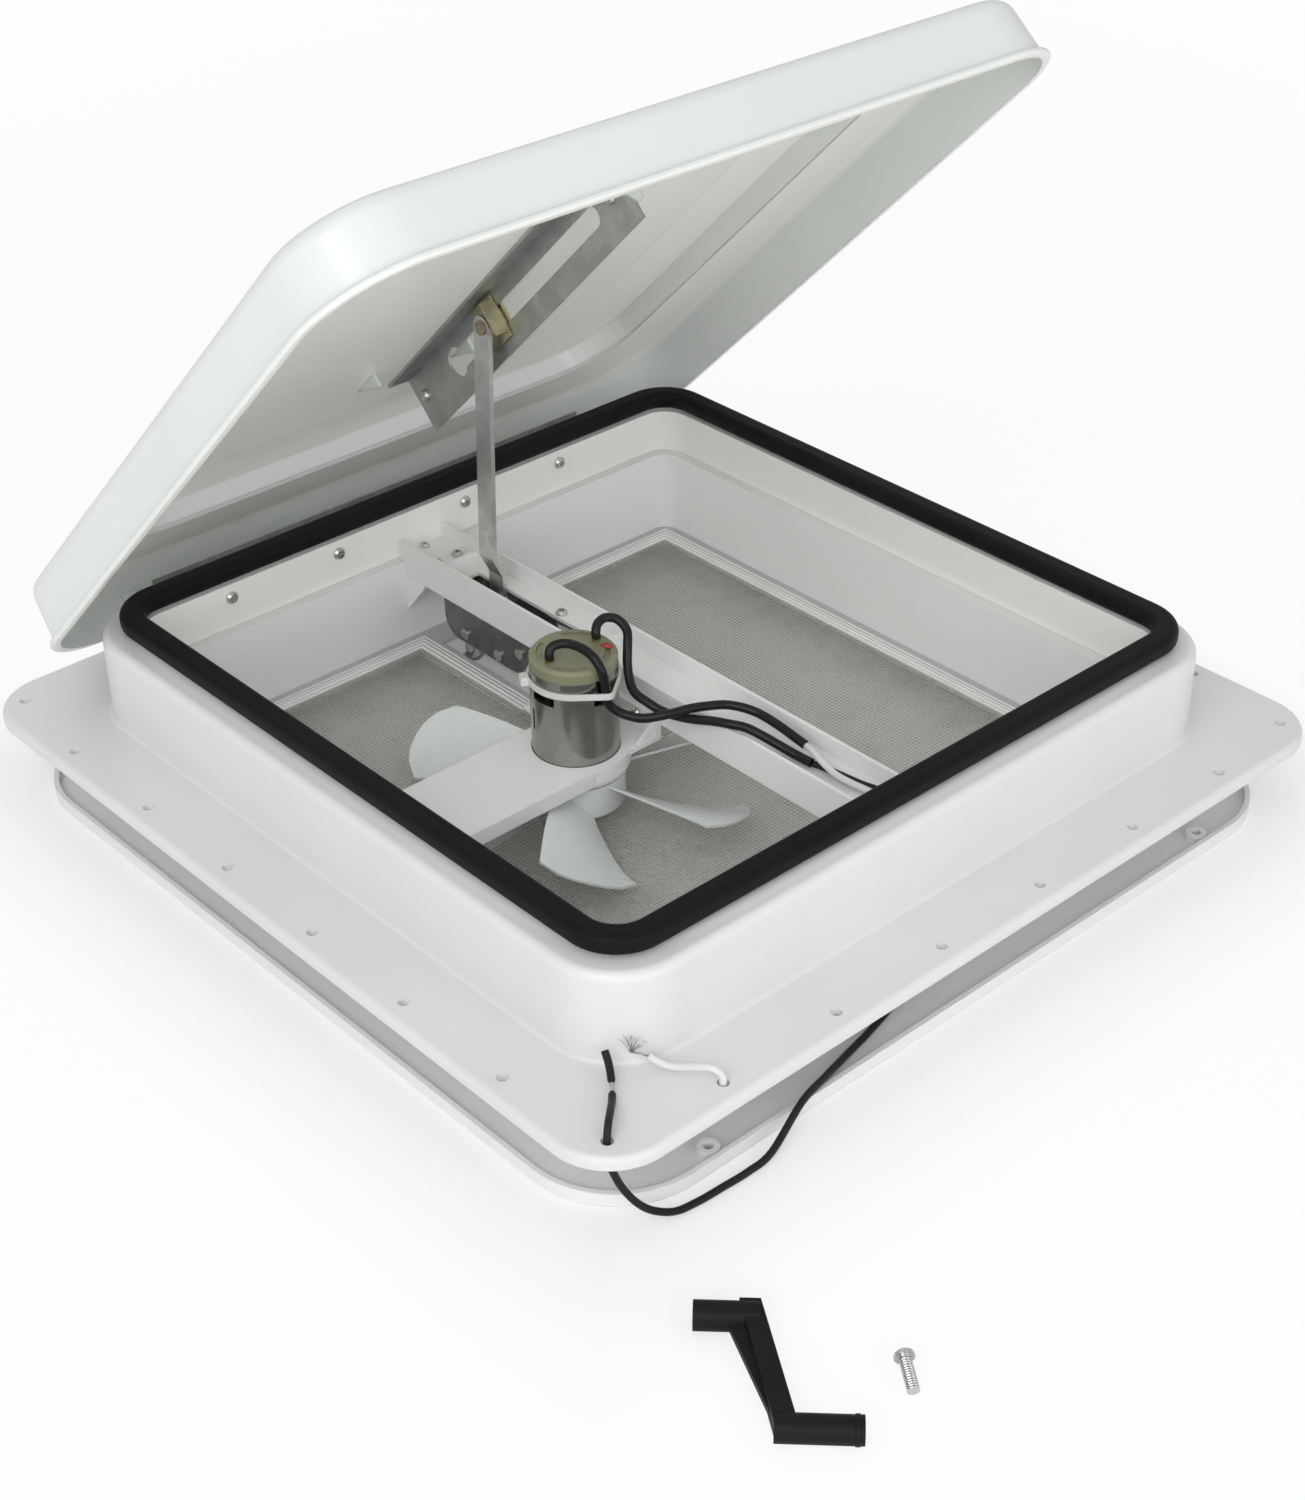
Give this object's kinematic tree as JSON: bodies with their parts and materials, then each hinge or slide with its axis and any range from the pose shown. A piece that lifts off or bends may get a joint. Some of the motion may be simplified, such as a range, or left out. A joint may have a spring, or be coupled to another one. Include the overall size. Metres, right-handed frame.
{
  "type": "caravan roof vent",
  "caption": "Square caravan roof vent with a hinged lid on a slotted rail and lift arm, worm operator, small fan and motor, screen, trim ring and loose crank handle.",
  "frame": {"origin": "middle of the screw flange on its upper face", "axes": "+Z out of the roof, +Y towards the lid's hinge, +X to the right seen from the front"},
  "size_m": [0.4729, 0.5918, 0.3581],
  "materials": {
    "white_abs": "semi-gloss moulded",
    "lid_white": "gloss outside, slightly translucent",
    "rubber_black": "matte",
    "galvanised": "dull galvanised with spangle",
    "operator_steel": "dull dark steel",
    "yellow_zinc": "yellow passivated",
    "zinc_screw": "bright zinc",
    "motor_steel": "bare drawn steel",
    "olive_plastic": "olive moulded",
    "brass": "turned",
    "natural_nylon": "natural",
    "sleeve_black": "glossy vinyl sleeving",
    "wire_white": "vinyl",
    "garnish_white": "semi-gloss moulded",
    "screen_grey": "woven",
    "handle_black": "moulded"
  },
  "bodies": {
    "base": {"base_frame": "white_abs", "gasket": "rubber_black", "base_leaf": "galvanised", "hinge_pin": "zinc_screw", "hinge_screws": "zinc_screw", "cross_channel": "white_abs", "channel_screws": "zinc_screw", "operator_plate_near": "operator_steel", "operator_plate_far": "operator_steel", "operator_rivets": "zinc_screw", "pivot_pin": "zinc_screw", "pivot_spacers": "zinc_screw", "spindle_bushes": "natural_nylon", "fan_mount": "white_abs", "mount_screws": "zinc_screw", "motor_can": "motor_steel", "motor_cap": "olive_plastic", "motor_terminals": "brass", "zip_tie": "natural_nylon", "motor_lead_left": "sleeve_black", "motor_lead_right": "sleeve_black", "garnish_ring": "garnish_white", "screen_frame": "garnish_white", "screen_mesh": "screen_grey", "supply_lead_black": "sleeve_black", "supply_lead_white": "wire_white", "crank_handle": "handle_black", "handle_screw": "zinc_screw"},
    "lid": {"lid": "lid_white", "lid_leaf": "galvanised", "lid_rivets": "zinc_screw", "lift_rail": "galvanised", "rail_screws": "zinc_screw"},
    "arm": {"lift_arm": "galvanised"},
    "slider": {"slider": "yellow_zinc", "slider_pin": "yellow_zinc"},
    "spindle": {"crank_spindle": "zinc_screw", "worm": "brass", "spindle_clip": "zinc_screw"},
    "fan": {"fan": "white_abs", "motor_shaft": "zinc_screw"}
  },
  "joints": [
    {"name": "lid_hinge", "type": "hinge", "parent": "base", "child": "lid", "pos_m": [0, 0.1954, 0.005], "axis": [-1, 0, 0], "range_deg": [-45, 0]},
    {"name": "arm_pivot", "type": "hinge", "parent": "base", "child": "arm", "pos_m": [0, 0.11, 0.013], "axis": [-1, 0, 0], "range_deg": [-72.5, 0.5]},
    {"name": "slider_pivot", "type": "hinge", "parent": "arm", "child": "slider", "pos_m": [0, 0.1038, 0.1668], "axis": [-1, 0, 0], "range_deg": [-0.5, 27.5]},
    {"name": "spindle_turn", "type": "hinge", "parent": "base", "child": "spindle", "pos_m": [0, 0.133, 0], "axis": [0, 0, 1], "range_deg": [-2455, 5]},
    {"name": "fan_spin", "type": "hinge", "parent": "base", "child": "fan", "pos_m": [-0.049, -0.006, 0], "axis": [0, 0, 1], "continuous": true}
  ],
  "couplings": [
    {"joint": "arm_pivot", "follows": "lid_hinge", "ratio": 1.6},
    {"joint": "slider_pivot", "follows": "lid_hinge", "ratio": -0.6},
    {"joint": "spindle_turn", "follows": "lid_hinge", "ratio": 54.4}
  ]
}
